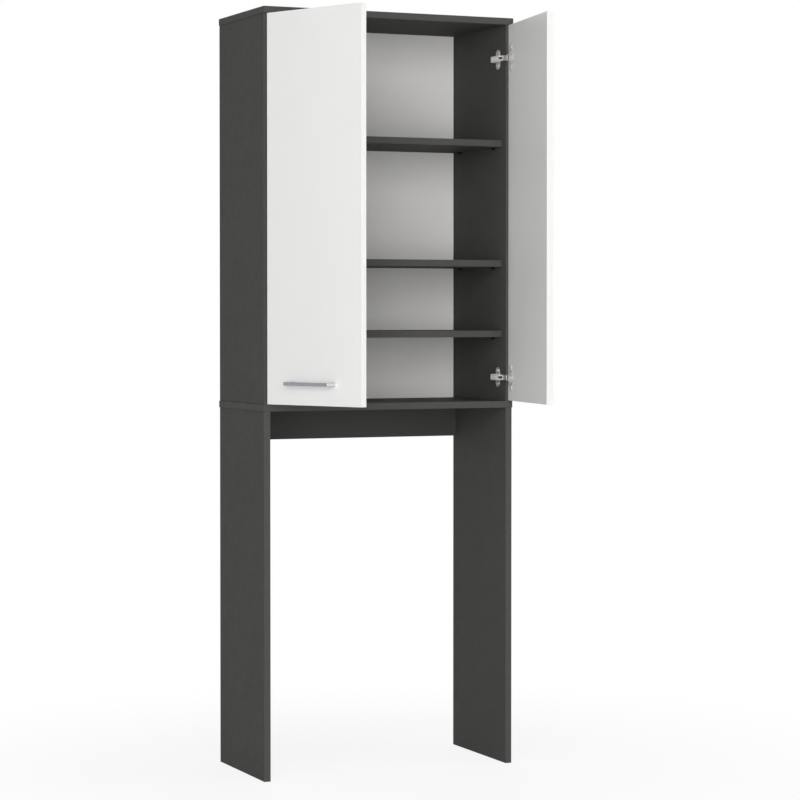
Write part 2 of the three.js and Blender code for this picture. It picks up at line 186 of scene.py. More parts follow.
# Handles
HANDLE_LEG = 0.014
HANDLE_BAR = 0.006
HANDLE_CORNER = 0.0025
HANDLE_INNER_CORNER = 0.0008
HANDLE_SCREW_RISE = 0.0024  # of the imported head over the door's inner face
HANDLE_SHANK_RADIUS = 0.002
HANDLE_CAP_RADIUS = 0.004
HANDLE_CAP_TOP_RADIUS = 0.0038
HANDLE_CAP_RISE = 0.0004  # the head is sunk under a flat cap

# Floor and lamps
FLOOR_REACH = 30.0
FLOOR_TONE = 0.9
FLOOR_NEAR, FLOOR_FAR = 0.4, 1.6  # distances between which it turns white
FLOOR_NEAR_WHITENESS = 0.86
LAMPS = {  # place and width
    "front": ((-2.2, -5.1, 1.75), 3.4),
    "left": ((-4.2, -3.5, 1.75), 3.0),
    "right": ((4.2, -1.6, 1.4), 2.6),
    "rear": ((2.2, 4.8, 3.2), 3.0),
    "top": ((0, -0.9, 4.2), 2.6),
}


def from_screen(red, green, blue):
    """Linear colour of a screen colour given in 0 to 255, by the standard screen curve."""
    share = np.array([red, green, blue]) / 255
    return tuple(np.where(share <= 0.04045, share / 12.92, ((share + 0.055) / 1.055) ** 2.4))


def colour_property(name, description, red, green, blue):
    """Colour that a user can change, given as a screen colour."""
    return FloatVectorProperty(name=name, description=description, subtype="COLOR", size=3,
                               min=0, max=1, default=from_screen(red, green, blue))


def length_property(name, description, default):
    """Length that a user can change, in metres."""
    return FloatProperty(name=name, description=description, default=default, min=0,
                         subtype="DISTANCE", unit="LENGTH")


def power_property(name, place, default):
    """Power of a lamp that a user can change, in watts."""
    return FloatProperty(name=f"{name} lamp", description=f"Power of the lamp {place}, in watts",
                         subtype="POWER", default=default)


class CabinetColours(bpy.types.PropertyGroup):
    """Colours of the cabinet's finishes."""

    anthracite: colour_property("Anthracite", "Melamine faces of the carcass boards", 73, 73, 71)
    anthracite_band: colour_property("Anthracite band", "Edge bands of the carcass", 74, 74, 72)
    white: colour_property("White", "Melamine faces of the doors, and screw caps", 225, 225, 224)
    white_band: colour_property("White band", "Edge bands of the doors", 227, 227, 226)
    back_foil: colour_property("Back foil", "Pale inner face of the back panel", 238, 237, 235)
    hardboard: colour_property("Hardboard", "Bare outer face of the back panel", 131, 97, 66)
    chipboard: colour_property("Chipboard", "Bare rear edges of the boards", 187, 154, 112)
    nickel: colour_property("Nickel", "Concealed hinges", 222, 221, 219)
    zinc: colour_property("Zinc", "Nails of the back panel", 190, 192, 195)
    aluminium: colour_property("Aluminium", "Brushed handles", 150, 153, 159)
    # Paler copy of the aluminium for the sides of the handles' legs: a painted highlight
    handle_end_highlight: colour_property("Polish", "Polished ends of the handles", 224, 223, 223)
    # Black steel also darkens the hinge links' necks and the screws' recesses: painted shade
    black_steel: colour_property("Black steel", "Shelf pins, hinge pins, screw slots", 62, 62, 61)
    beech: colour_property("Beech", "Dowels", 201, 165, 116)


class CabinetSizes(bpy.types.PropertyGroup):
    """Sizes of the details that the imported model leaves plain."""

    board_edge: length_property("Board edge", "Radius of the eased edges of the boards", 0.0008)
    door_edge: length_property("Door edge", "Radius of the eased edges of the doors", 0.0009)
    metal_edge: length_property("Metal edge", "Radius of the edges of stamped metal", 0.0004)
    handle_edge: length_property("Handle edge", "Radius of the long edges of the handles", 0.0009)
    nail_spacing: length_property("Nail spacing", "Most distance between two nails", 0.12)


class CabinetStage(bpy.types.PropertyGroup):
    """Camera, lamps and surroundings."""

    camera_place: FloatVectorProperty(
        name="Camera", description="Place of the camera", size=3, subtype="XYZ", unit="LENGTH",
        default=(-2.4584, -5.6002, 1.0937))
    camera_turn: FloatProperty(
        name="Turn", description="Camera's turn to the right of +Y", subtype="ANGLE",
        unit="ROTATION", default=math.radians(23.847))
    camera_tilt: FloatProperty(
        name="Tilt", description="Camera's tilt below the horizon", subtype="ANGLE",
        unit="ROTATION", default=math.radians(1.249))
    camera_lens: FloatProperty(
        name="Lens", description="Focal length in millimetres for a 36 mm sensor", default=116.32)
    camera_shift: FloatProperty(
        name="Shift", description="Vertical shift of the lens", default=-0.04)
    ambient: FloatProperty(
        name="Ambient", description="Strength of the surroundings as a light", default=0.15)
    front_power: power_property("Front", "in front", 194)
    left_power: power_property("Left", "on the left", 65)
    right_power: power_property("Right", "on the right", 66)
    rear_power: power_property("Rear", "behind", 90)
    top_power: power_property("Top", "overhead", 38)


# Shells: closed surfaces as points, faces and a finish for each face

Shell = namedtuple("Shell", "points faces finish")


def grid_faces(rows, columns, closed=False):
    """Quadruples of indices that join each point of a grid to the next row and the next column. In
    a closed grid the last column is joined to the first."""
    row, column = np.meshgrid(np.arange(rows - 1), np.arange(columns - (not closed)), indexing="ij")
    next_row, next_column = row + 1, (column + 1) % columns
    corners = [row * columns + column, row * columns + next_column,
               next_row * columns + next_column, next_row * columns + column]
    return np.stack(corners, -1).reshape(-1, 4)


def grid_shell(points, caps=(), finish=0):
    """Closed grid of points, with further faces that cap it."""
    rows, columns = points.shape[:2]
    faces = grid_faces(rows, columns, closed=True).tolist() + [list(cap) for cap in caps]
    return Shell(points.reshape(-1, 3), faces, finish)


def board_shell(low, high, radius, finish=0):
    """Box with round edges, as the sum of a smaller box and a ball: each point is the ball's point
    in some direction, carried to the corner of the smaller box on the same side."""
    low, high = np.array(low, float), np.array(high, float)
    quarter = np.linspace(0, math.pi / 2, RIM_STEPS + 1)
    turn = (quarter + math.pi / 2 * np.arange(4)[:, None]).ravel()
    lift = np.concatenate([quarter - math.pi / 2, quarter])
    side_x = np.repeat([1, -1, -1, 1], RIM_STEPS + 1)
    side_y = np.repeat([1, 1, -1, -1], RIM_STEPS + 1)
    side_z = np.repeat([-1, 1], RIM_STEPS + 1)
    lift, turn = np.meshgrid(lift, turn, indexing="ij")
    ball = np.stack([np.cos(lift) * np.cos(turn), np.cos(lift) * np.sin(turn), np.sin(lift)], -1)
    side = np.stack(np.broadcast_arrays(side_x, side_y, side_z[:, None]), -1)
    points = (low + high) / 2 + side * ((high - low) / 2 - radius) + radius * ball
    rows, columns = lift.shape
    flats = [range(0, columns, RIM_STEPS + 1),
             range((rows - 1) * columns, rows * columns, RIM_STEPS + 1)]
    return grid_shell(points, flats, finish)


def slab_shell(outline, low, high, radius, finish=0):
    """Flat body between two heights. outline(inset) gives its closed outline, drawn in by an inset,
    and each rim is a quarter circle: drawn in by r(1 - sin t) at a height of r(1 - cos t)."""
    turn = np.linspace(0, math.pi / 2, RIM_STEPS + 1)
    inset = radius * (1 - np.sin(turn))
    rise = radius * (1 - np.cos(turn))
    insets = np.concatenate([inset, inset[::-1]])
    heights = np.concatenate([low + rise, high - rise[::-1]])
    rings = np.array([np.column_stack([ring, np.full(len(ring), height)])
                      for ring, height in zip(map(outline, insets), heights)])
    rows, columns = rings.shape[:2]
    ends = [range(columns), range((rows - 1) * columns, rows * columns)]
    return grid_shell(rings, ends, finish)


def turned_shell(profile, steps=ROUND_STEPS):
    """Profile of radius and height, carried round the height axis, on which it starts and ends."""
    radius, height = np.array(profile, float).T
    turn = np.linspace(0, 2 * math.pi, steps, endpoint=False)
    return grid_shell(np.stack([np.outer(radius, np.cos(turn)), np.outer(radius, np.sin(turn)),
                                np.repeat(height[:, None], steps, 1)], -1))


def rod_shell(radius, low, high, steps=ROUND_STEPS):
    """Round rod: a rectangle's profile, carried round the height axis."""
    return turned_shell([(0, low), (radius, low), (radius, high), (0, high)], steps)


def screw_shell(radius, rise, slot_only=False):
    """Domed head with a cross or a slot sunk into it, whose recess has the second finish: a square
    grid drawn onto a disc by x = u sqrt(1 - v v / 2), y = v sqrt(1 - u u / 2), raised as a dome and
    lowered in the cross."""
    bar, reach, wall = 0.14, 0.58, 0.03  # shares of the radius
    rim_shares = [0.75, 0.85, 0.93, 1]
    rim_rise, floor_rise = 0.45, 0.25  # shares of the rise
    half = [0, bar / 2, bar, bar + wall, (bar + reach) / 2, reach, reach + wall, *rim_shares]
    lines = np.array([-value for value in half[:0:-1]] + half)
    u, v = np.meshgrid(lines, lines, indexing="ij")
    x, y = u * np.sqrt(1 - v * v / 2), v * np.sqrt(1 - u * u / 2)
    around = np.abs(np.stack([u, v]))
    sunk = (around[0] <= bar) & (around[1] <= reach)
    if not slot_only:
        sunk |= (around[1] <= bar) & (around[0] <= reach)
    bulge = np.sqrt(np.clip(1 - (x * x + y * y) ** 2, 0, 1))
    dome = rise * (rim_rise + (1 - rim_rise) * bulge)
    top = np.stack([x * radius, y * radius, np.where(sunk, floor_rise * rise, dome)], -1)
    foot = np.stack([x * radius, y * radius, np.zeros_like(x)], -1)
    count = len(lines)
    index = np.arange(count * count).reshape(count, count)
    rim = np.concatenate([index[0, :-1], index[:-1, -1], index[-1, :0:-1], index[:0:-1, 0]])
    under = rim + count * count
    wall_faces = np.stack([rim, np.roll(rim, -1), np.roll(under, -1), under], -1)
    disc = grid_faces(count, count)
    faces = np.concatenate([disc, disc + count * count, wall_faces])
    # The recess takes the second finish, a dark steel: painted shade in the cross or slot
    finish = np.zeros(len(faces), int)
    finish[:len(disc)] = sunk.ravel()[disc].all(1)
    return Shell(np.concatenate([top.reshape(-1, 3), foot.reshape(-1, 3)]), faces.tolist(), finish)


# Outlines: functions of the inset that give points in order

def arc(centre, radius, start, end, steps=CORNER_STEPS):
    """Points at a radius from a centre, at even steps between two angles in degrees."""
    angle = np.radians(np.linspace(start, end, steps + 1))
    return np.column_stack([centre[0] + radius * np.cos(angle), centre[1] + radius * np.sin(angle)])


def box_outline(low, high, corner):
    """Rectangle with round corners: an arc about each corner of a rectangle drawn in by the
    corner's radius."""
    def outline(inset):
        x0, y0, x1, y1 = low[0] + corner, low[1] + corner, high[0] - corner, high[1] - corner
        centres = [(x1, y1), (x0, y1), (x0, y0), (x1, y0)]
        return np.concatenate([arc(centre, corner - inset, 90 * quarter, 90 * quarter + 90)
                               for quarter, centre in enumerate(centres)])
    return outline


def channel_outline(low, high, leg, web, corner, inner_corner):
    """Channel with its web at the high end of the second axis and its legs pointing down: straight
    runs joined by an arc at each of its four bends."""
    def outline(inset):
        x0, x1, foot, top = low[0] + inset, high[0] - inset, low[1] + inset, high[1] - inset
        outer, inner = corner - inset, inner_corner + inset
        left, right, under = low[0] + leg - inset, high[0] - leg + inset, high[1] - web + inset
        return np.concatenate([
            [(x0, foot)], arc((x0 + outer, top - outer), outer, 180, 90),
            arc((x1 - outer, top - outer), outer, 90, 0), [(x1, foot), (right, foot)],
            arc((right - inner, under - inner), inner, 0, 90),
            arc((left + inner, under - inner), inner, 90, 180), [(left, foot)]])
    return outline


def strap_outline(eye_radius, strap, end_radius, length):
    """Strap along the first axis from the eye round the origin to a round end: two arcs that stop
    where they meet the strap's straight sides, at an angle whose sine is half the strap over r."""
    def outline(inset):
        half = strap / 2 - inset
        eye, end = eye_radius - inset, end_radius - inset
        eye_turn = math.degrees(math.asin(half / eye))
        end_turn = math.degrees(math.asin(min(1, half / end)))
        return np.concatenate([
            arc((0, 0), eye, eye_turn, 360 - eye_turn, 4 * CORNER_STEPS),
            arc((length, 0), end, end_turn - 180, 180 - end_turn, 2 * CORNER_STEPS)])
    return outline


def bowed_outline(start, end, thick, bow):
    """Strap along the first axis, bowed by b(1 - u u) to one side, where u runs from -1 to 1."""
    def outline(inset):
        share = np.linspace(-1, 1, 4 * CORNER_STEPS)
        along = (start + end) / 2 + share * ((end - start) / 2 - inset)
        middle = bow * (1 - share ** 2)
        half = thick / 2 - inset
        return np.concatenate([np.column_stack([along, middle - half]),
                               np.column_stack([along, middle + half])[::-1]])
    return outline


def flange_outline(inset):
    """Flange of a hinge cup, a letter C round the cup: outside it is the further of a circle and
    an upright bar with round corners in each direction, inside it is the cup's mouth, and the
    notch for the link opens it on the hinge side."""
    notch = FLANGE_NOTCH / 2 + inset
    outer, inner = FLANGE_RADIUS - inset, CUP_RADIUS - CUP_WALL + inset
    mouth = math.pi - math.asin(notch / inner)
    lip = math.pi - math.asin(notch / outer)
    angle = np.linspace(-lip, lip, FLANGE_STEPS)
    half_width, half_height = FLANGE_WING / 2 - inset, FLANGE_REACH - inset
    corner = FLANGE_CORNER - inset
    least = 1e-9
    cos, sin = np.maximum(np.abs([np.cos(angle), np.sin(angle)]), least)
    flat = np.minimum(half_width / cos, half_height / sin)
    centre_x, centre_y = half_width - corner, half_height - corner
    along = cos * centre_x + sin * centre_y
    past = along ** 2 - centre_x ** 2 - centre_y ** 2 + corner ** 2
    rounded = along + np.sqrt(np.maximum(past, 0))
    in_corner = (flat * cos > centre_x) & (flat * sin > centre_y)
    reach = np.maximum(outer, np.where(in_corner, rounded, flat))
    back = np.linspace(mouth, -mouth, FLANGE_STEPS // 2)
    return np.concatenate([np.column_stack([reach * np.cos(angle), reach * np.sin(angle)]),
                           np.column_stack([inner * np.cos(back), inner * np.sin(back)])])


# Places

def placed(shell, origin, across, along, up):
    """The shell with its three axes laid along three directions of the cabinet."""
    axes = np.array([across, along, up], float)
    return shell._replace(points=shell.points @ axes + np.array(origin, float))


class Swing:
    """A body that turns on a joint. Its pieces are drawn as with the doors closed and then
    turned to where the body stands."""

    def __init__(self, joint, closed):
        found = next(item for item in frame["joints"] if item["name"] == joint)
        self.centre = np.array([*found["pos_m"][:2], 0])
        self.closed = math.radians(closed)
        # Where the closed body's right and its rear point as it stands
        self.across = np.array([math.cos(self.closed), -math.sin(self.closed), 0])
        self.inward = np.array([math.sin(self.closed), math.cos(self.closed), 0])

    def turned(self, points, angle):
        """Points turned clockwise about the joint, seen from above."""
        cos, sin = math.cos(angle), math.sin(angle)
        turn = np.array([[cos, sin, 0], [-sin, cos, 0], [0, 0, 1]])
        return (points - self.centre) @ turn + self.centre

    def open(self, shell):
        """A shell drawn as with the doors closed, turned to where the body stands."""
        return shell._replace(points=self.turned(shell.points, -self.closed))

    def closed_box(self, node):
        """Corners of the node's box as with the doors closed."""
        points = self.turned(node_points(node), self.closed)
        return points.min(0), points.max(0)


def node_points(node):
    """Points of the node's mesh."""
    mesh = frame["nodes"][node].data
    points = np.zeros(len(mesh.vertices) * 3, np.float32)
    mesh.vertices.foreach_get("co", points)
    return points.reshape(-1, 3).astype(float)


def node_box(node):
    """Corners of the node's box."""
    low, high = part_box(node)
    return np.array(low), np.array(high)


def inner_face(side):
    """Place of the upper side board's inner face, from left to right."""
    low, high = node_box(f"upper_side_{side}")
    return high[0] if side == "left" else low[0]


def spaced(start, end, most):
    """Even places from start to end, no further apart than most."""
    return np.linspace(start, end, math.ceil((end - start) / most) + 1)


def slot_axes(slot, right, up):
    """Where a screw's slot points and what is square to it, from its shares of two directions."""
    (across, rising), right, up = slot, np.array(right), np.array(up)
    return across * right + rising * up, across * up - rising * right


def hinge_parts(part):
    """Side, sign and node of that part of each hinge."""
    for side, sign in SIDES.items():
        for level in LEVELS:
            yield side, sign, f"hinge_{part}_{side}_{level}"


def joint_range(name):
    """Least and most angle of a joint, in degrees."""
    return next(item for item in frame["joints"] if item["name"] == name)["range_deg"]


def coupling_ratio(name):
    """Turn of a coupled joint for each turn of the joint that it follows."""
    couplings = frame["record"]["behaviour"]["couplings"]
    return next(item for item in couplings if item["joint"] == name)["ratio"]


CLOSED = {"left": joint_range("left_door_hinge")[1], "right": joint_range("right_door_hinge")[0]}
DOOR = {side: Swing(f"{side}_door_hinge", CLOSED[side]) for side in SIDES}
LINK = {side: Swing(f"{side}_link_pivot", CLOSED[side] * coupling_ratio(f"{side}_link_pivot"))
        for side in SIDES}


# Pieces

def add_piece(name, shells, finishes, body, replaces=()):
    """One object from closed shells. A shell's finish is an index into finishes, an array of them
    for its faces, or a function that gives one from a face's normal."""
    whole = bmesh.new()
    for shell in shells:
        part = bmesh.new()
        mesh = bpy.data.meshes.new("part")
        mesh.from_pydata(shell.points.tolist(), [], shell.faces)
        if not callable(shell.finish):
            finish = np.broadcast_to(shell.finish, len(shell.faces))
            mesh.polygons.foreach_set("material_index", finish.astype(np.int32))
        part.from_mesh(mesh)
        bmesh.ops.remove_doubles(part, verts=part.verts, dist=MERGE_DISTANCE)
        bmesh.ops.recalc_face_normals(part, faces=part.faces)
        if callable(shell.finish):
            for face in part.faces:
                face.material_index = shell.finish(face.normal)
        part.to_mesh(mesh)
        part.free()
        whole.from_mesh(mesh)
        bpy.data.meshes.remove(mesh)
    mesh = bpy.data.meshes.new(name)
    whole.to_mesh(mesh)
    whole.free()
    for finish in finishes:
        mesh.materials.append(bpy.data.materials[finish])
    settle(mesh, name, body, replaces)


def add_hinge_part(node, shells, body, metal="nickel_plate"):
    """A part of a hinge in a metal and, as its second finish, black steel."""
    add_piece(f"{node}_steel", shells, [metal, "black_steel"], body, [node])


def settle(mesh, name, body, replaces):
    """Smooth shading with hard edges kept, flat faces kept flat, and the piece on its body."""
    mesh.shade_smooth()
    mesh.set_sharp_from_angle(angle=SHARP_ANGLE)
    piece = bpy.data.objects.new(name, mesh)
    bpy.context.scene.collection.objects.link(piece)
    weigh = piece.modifiers.new("Flat faces", "WEIGHTED_NORMAL")
    weigh.keep_sharp = True
    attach(piece, body)
    if replaces:
        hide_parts(*replaces)
    return piece


# Finishes

def add_node(tree, kind, links=None, **settings):
    """A node with its settings, and its sockets set to values or joined to other sockets."""
    node = tree.nodes.new(kind)
    for key, value in settings.items():
        setattr(node, key, value)
    for socket, value in (links or {}).items():
        if isinstance(value, bpy.types.NodeSocket):
            tree.links.new(value, node.inputs[socket])
        else:
            node.inputs[socket].default_value = value
    return node


def object_place(tree):
    """Place on the piece, in metres."""
    return add_node(tree, "ShaderNodeTexCoord").outputs["Object"]


def noise(tree, scale, stretch=(1, 1, 1), turn=0.0, detail=3.0, roughness=0.5):
    """Noise of a scale in cycles per metre, stretched along axes turned about the vertical."""
    turned = add_node(tree, "ShaderNodeMapping", {
        "Vector": object_place(tree), "Rotation": (0, 0, turn)})
    scaled = add_node(tree, "ShaderNodeMapping", {
        "Vector": turned.outputs["Vector"], "Scale": stretch})
    return add_node(tree, "ShaderNodeTexNoise", {
        "Vector": scaled.outputs["Vector"], "Scale": scale, "Detail": detail,
        "Roughness": roughness}).outputs["Fac"]


def spread(tree, value, low=0, high=1, start=0.3, end=0.7):
    """A value between two limits, spread over a range."""
    return add_node(tree, "ShaderNodeMapRange", {
        "Value": value, "From Min": start, "From Max": end,
        "To Min": low, "To Max": high}).outputs["Result"]


def combined(tree, operation, first, second):
    """Result of a sum, a product or the greater of two values."""
    return add_node(tree, "ShaderNodeMath", {0: first, 1: second}, operation=operation).outputs[0]


def between(tree, share, first, second):
    """Colour between two colours. The mix node's colour sockets share their names with others, so
    they are taken by number."""
    mix = add_node(tree, "ShaderNodeMix", data_type="RGBA")
    for socket, value in ((0, share), (6, first), (7, second)):
        if isinstance(value, bpy.types.NodeSocket):
            tree.links.new(value, mix.inputs[socket])
        else:
            mix.inputs[socket].default_value = (*value, 1)
    return mix.outputs[2]


def tones(tree, share, colour, dark, pale):
    """Colour between a darker and a paler tone of the one given."""
    darker, paler = (tuple(min(1, channel * tone) for channel in colour) for tone in (dark, pale))
    return between(tree, share, darker, paler)


def start_finish(name, metallic=0.0, specular=0.5, roughness=0.5):
    """New material's node tree and shader."""
    material = bpy.data.materials.new(name)
    material.use_nodes = True
    tree = material.node_tree
    shader = tree.nodes["Principled BSDF"]
    shader.inputs["Metallic"].default_value = metallic
    shader.inputs["Specular IOR Level"].default_value = specular
    shader.inputs["Roughness"].default_value = roughness
    return tree, shader


def set_tones(tree, shader, share, colour, dark, pale):
    """The shader's colour, between a darker and a paler tone of the one given."""
    tree.links.new(tones(tree, share, colour, dark, pale), shader.inputs["Base Color"])


def set_sheen(tree, shader, value, roughness, below, above):
    """The shader's roughness, spread from a little below a value to a little above it."""
    uneven = spread(tree, value, roughness - below, roughness + above)
    tree.links.new(uneven, shader.inputs["Roughness"])


def set_bump(tree, shader, height, distance, strength):
    """The shader's normal, from a height."""
    bump = add_node(tree, "ShaderNodeBump", {
        "Height": height, "Distance": distance, "Strength": strength})
    tree.links.new(bump.outputs["Normal"], shader.inputs["Normal"])


def melamine(name, colour, roughness, tone, specular=0.3):
    """Pearl-textured melamine: a fine grain of 0.8 mm, a speckle and faint broad clouds."""
    tree, shader = start_finish(name, specular=specular)
    clouds = spread(tree, noise(tree, scale=9), 1 - tone, 1 + tone)
    speckle = spread(tree, noise(tree, scale=620, detail=1), 1 - tone, 1 + tone)
    both = combined(tree, "MULTIPLY", clouds, speckle)
    dark, pale = 1 - 2 * tone, 1 + 2 * tone
    set_tones(tree, shader, spread(tree, both, start=dark, end=pale), colour, dark, pale)
    set_sheen(tree, shader, noise(tree, scale=45), roughness, below=0.05, above=0.05)
    set_bump(tree, shader, noise(tree, scale=1250, detail=2), distance=0.0002, strength=0.12)


def chipboard(name, colour):
    """Pressed chips: pale and dark flakes of 2 to 6 mm with pits between them."""
    tree, shader = start_finish(name, specular=0.2, roughness=0.9)
    flakes = add_node(tree, "ShaderNodeTexVoronoi", {"Vector": object_place(tree), "Scale": 420.0})
    share = add_node(tree, "ShaderNodeSeparateColor", {"Color": flakes.outputs["Color"]})
    chips = tones(tree, share.outputs["Red"], colour, dark=0.55, pale=1.25)
    dust = spread(tree, noise(tree, scale=150, detail=6, roughness=0.7))
    tree.links.new(between(tree, dust, chips, colour), shader.inputs["Base Color"])
    set_bump(tree, shader, noise(tree, scale=500, detail=5), distance=0.0008, strength=0.7)


def hardboard(name, colour):
    """Bare fibreboard: matted fibres, darker where they are pressed harder."""
    tree, shader = start_finish(name, specular=0.25)
    fibres = noise(tree, scale=260, stretch=(1, 1, 0.35), detail=8, roughness=0.7)
    blotches = noise(tree, scale=14, detail=4)
    share = combined(tree, "ADD", spread(tree, fibres, high=0.6), spread(tree, blotches, high=0.4))
    set_tones(tree, shader, share, colour, dark=0.78, pale=1.22)
    set_sheen(tree, shader, fibres, roughness=0.62, below=0, above=0.23)
    set_bump(tree, shader, fibres, distance=0.0004, strength=0.35)


def plated(name, colour, roughness, metallic=1.0):
    """Plated steel with a faint uneven sheen."""
    tree, shader = start_finish(name, metallic)
    set_tones(tree, shader, spread(tree, noise(tree, scale=160)), colour, dark=0.975, pale=1.02)
    set_sheen(tree, shader, noise(tree, scale=210), roughness, below=0.02, above=0.03)
    set_bump(tree, shader, noise(tree, scale=900), distance=0.00005, strength=0.02)


def brushed(name, colour, roughness, turn):
    """Metal brushed along a door that is turned about the vertical."""
    length = 60  # of a scratch, times its width
    tree, shader = start_finish(name, metallic=1.0)
    strokes = noise(tree, scale=1800, stretch=(1 / length, 1, 1), turn=turn, detail=4,
                    roughness=0.6)
    set_tones(tree, shader, spread(tree, strokes), colour, dark=0.86, pale=1.1)
    set_sheen(tree, shader, strokes, roughness, below=0.07, above=0.1)
    set_bump(tree, shader, strokes, distance=0.0001, strength=0.12)


def wood(name, colour):
    """Straight-grained wood with the grain upright."""
    length = 20  # of the grain, times its width
    tree, shader = start_finish(name, specular=0.3, roughness=0.7)
    grain = noise(tree, scale=900, stretch=(1, 1, 1 / length), detail=4)
    set_tones(tree, shader, spread(tree, grain), colour, dark=0.8, pale=1.1)
    set_bump(tree, shader, grain, distance=0.0002, strength=0.3)


class CABINET_OT_finishes(bpy.types.Operator):
    """Mix the finishes of boards, metal and wood"""

    bl_idname = "cabinet.finishes"
    bl_label = "Finishes"

    def execute(self, context):
        colours = context.scene.cabinet_colours
        melamine("anthracite_melamine", colours.anthracite, roughness=0.64, tone=0.012,
                 specular=0.05)
        melamine("anthracite_band", colours.anthracite_band, roughness=0.6, tone=0.012,
                 specular=0.06)
        melamine("white_melamine", colours.white, roughness=0.42, tone=0.006)
        melamine("white_band", colours.white_band, roughness=0.38, tone=0.006)
        melamine("back_foil", colours.back_foil, roughness=0.6, tone=0.012)
        chipboard("raw_chipboard", colours.chipboard)
        hardboard("raw_hardboard", colours.hardboard)
        plated("nickel_plate", colours.nickel, roughness=0.46)
        plated("satin_nickel", colours.nickel, roughness=0.8, metallic=0.35)
        plated("zinc_plate", colours.zinc, roughness=0.36)
        for side, swing in DOOR.items():
            brushed(f"brushed_aluminium_{side}", colours.aluminium, roughness=0.36,
                    turn=swing.closed)
        # The sides of the handles' legs take a paler aluminium, a painted highlight of the light they catch
        plated("polished_ends", colours.handle_end_highlight, roughness=0.6)
        plated("black_steel", colours.black_steel, roughness=0.42)
        wood("beech_wood", colours.beech)
        return {"FINISHED"}


# Boards

def board_finish(thick_axis, raw_rear):
    """Melamine on the two faces, bare chipboard on the rear edge and a band on the other edges."""
    def finish(normal):
        if abs(normal[thick_axis]) > SQUARE_ON:
            return 0
        return 2 if raw_rear and normal[1] > TOWARDS else 1
    return finish


class CABINET_OT_boards(bpy.types.Operator):
    """Draw the carcass boards and shelves with eased, banded edges"""

    bl_idname = "cabinet.boards"
    bl_label = "Boards"

    def execute(self, context):
        edge = context.scene.cabinet_sizes.board_edge
        for node in BOARDS:
            low, high = node_box(node)
            thick_axis = int(np.argmin(high - low))
            shell = board_shell(low, high, edge, board_finish(thick_axis, thick_axis != 1))
            add_piece(f"{node}_melamine", [shell],
                      ["anthracite_melamine", "anthracite_band", "raw_chipboard"],
                      "carcass", [node])
        return {"FINISHED"}


class CABINET_OT_back_panel(bpy.types.Operator):
    """Draw the thin back panel, pale inside and bare outside, and its nails"""

    bl_idname = "cabinet.back_panel"
    bl_label = "Back panel"

    def execute(self, context):
        sizes = context.scene.cabinet_sizes
        low, high = node_box("back_panel")
        high[1] -= NAIL_HEAD_RISE
        sheet = board_shell(low, high, sizes.metal_edge,
                            lambda normal: 0 if normal[1] < -TOWARDS else 1)
        add_piece("back_panel_sheet", [sheet], ["back_foil", "raw_hardboard"], "carcass",
                  ["back_panel"])
        columns = [np.mean(node_box(f"upper_side_{side}"), 0)[0] for side in SIDES]
        rows = [np.mean(node_box(board), 0)[2] for board in ("middle_board", "top_board")]
        places = [(x, z) for x in columns for z in spaced(*rows, sizes.nail_spacing)]
        places += [(x, z) for z in rows for x in spaced(*columns, sizes.nail_spacing)[1:-1]]
        head = turned_shell([
            (0, 0), (NAIL_HEAD_RADIUS, 0), (NAIL_HEAD_RADIUS, NAIL_HEAD_RISE / 2),
            (NAIL_CROWN_RADIUS, NAIL_CROWN_RISE), (0, NAIL_HEAD_RISE)], SMALL_STEPS)
        nails = [placed(head, (x, high[1], z), RIGHT, (0, 0, -1), REAR) for x, z in places]
        add_piece("back_panel_nails", nails, ["zinc_plate"], "carcass")
        return {"FINISHED"}


class CABINET_OT_shelf_pins(bpy.types.Operator):
    """Draw the steel pins under the shelves and finish the dowels"""

    bl_idname = "cabinet.shelf_pins"
    bl_label = "Shelf pins and dowels"

    def execute(self, context):
        for side, sign in SIDES.items():
            face = inner_face(side)
            for shelf in SHELVES:
                for row in ROWS:
                    node = f"shelf_pin_{shelf}_{side}_{row}"
                    low, high = node_box(node)
                    seat = abs((high[0] if sign > 0 else low[0]) - face)
                    reach = high[0] - low[0] - seat
                    pin = turned_shell([
                        (0, -seat), (PIN_RADIUS, -seat), (PIN_RADIUS, 0), (COLLAR_RADIUS, 0),
                        (COLLAR_RADIUS, COLLAR_THICK), (PIN_RADIUS, COLLAR_THICK),
                        (PIN_RADIUS, reach - PIN_TIP),
                        (PIN_RADIUS - PIN_TIP / 3, reach - PIN_TIP / 3),
                        (PIN_RADIUS - PIN_TIP, reach), (0, reach)], PIN_STEPS)
                    centre = (face, *((low + high) / 2)[1:])
                    add_piece(f"{node}_steel", [placed(pin, centre, REAR, UP, (-sign, 0, 0))],
                              ["black_steel"], "carcass", [node])
        for node, piece in frame["nodes"].items():
            if "dowel" in node:
                piece.data.materials.clear()
                piece.data.materials.append(bpy.data.materials["beech_wood"])
        return {"FINISHED"}


# Doors

def merged_copy(node, name):
    """The node's solid with its doubles merged and its flat faces joined."""
    mesh = frame["nodes"][node].data.copy()
    mesh.name = name
    solid = bmesh.new()
    solid.from_mesh(mesh)
    bmesh.ops.remove_doubles(solid, verts=solid.verts, dist=MERGE_DISTANCE)
    bmesh.ops.dissolve_limit(solid, angle_limit=FLAT_ANGLE, verts=solid.verts, edges=solid.edges)
    bmesh.ops.recalc_face_normals(solid, faces=solid.faces)
    return mesh, solid


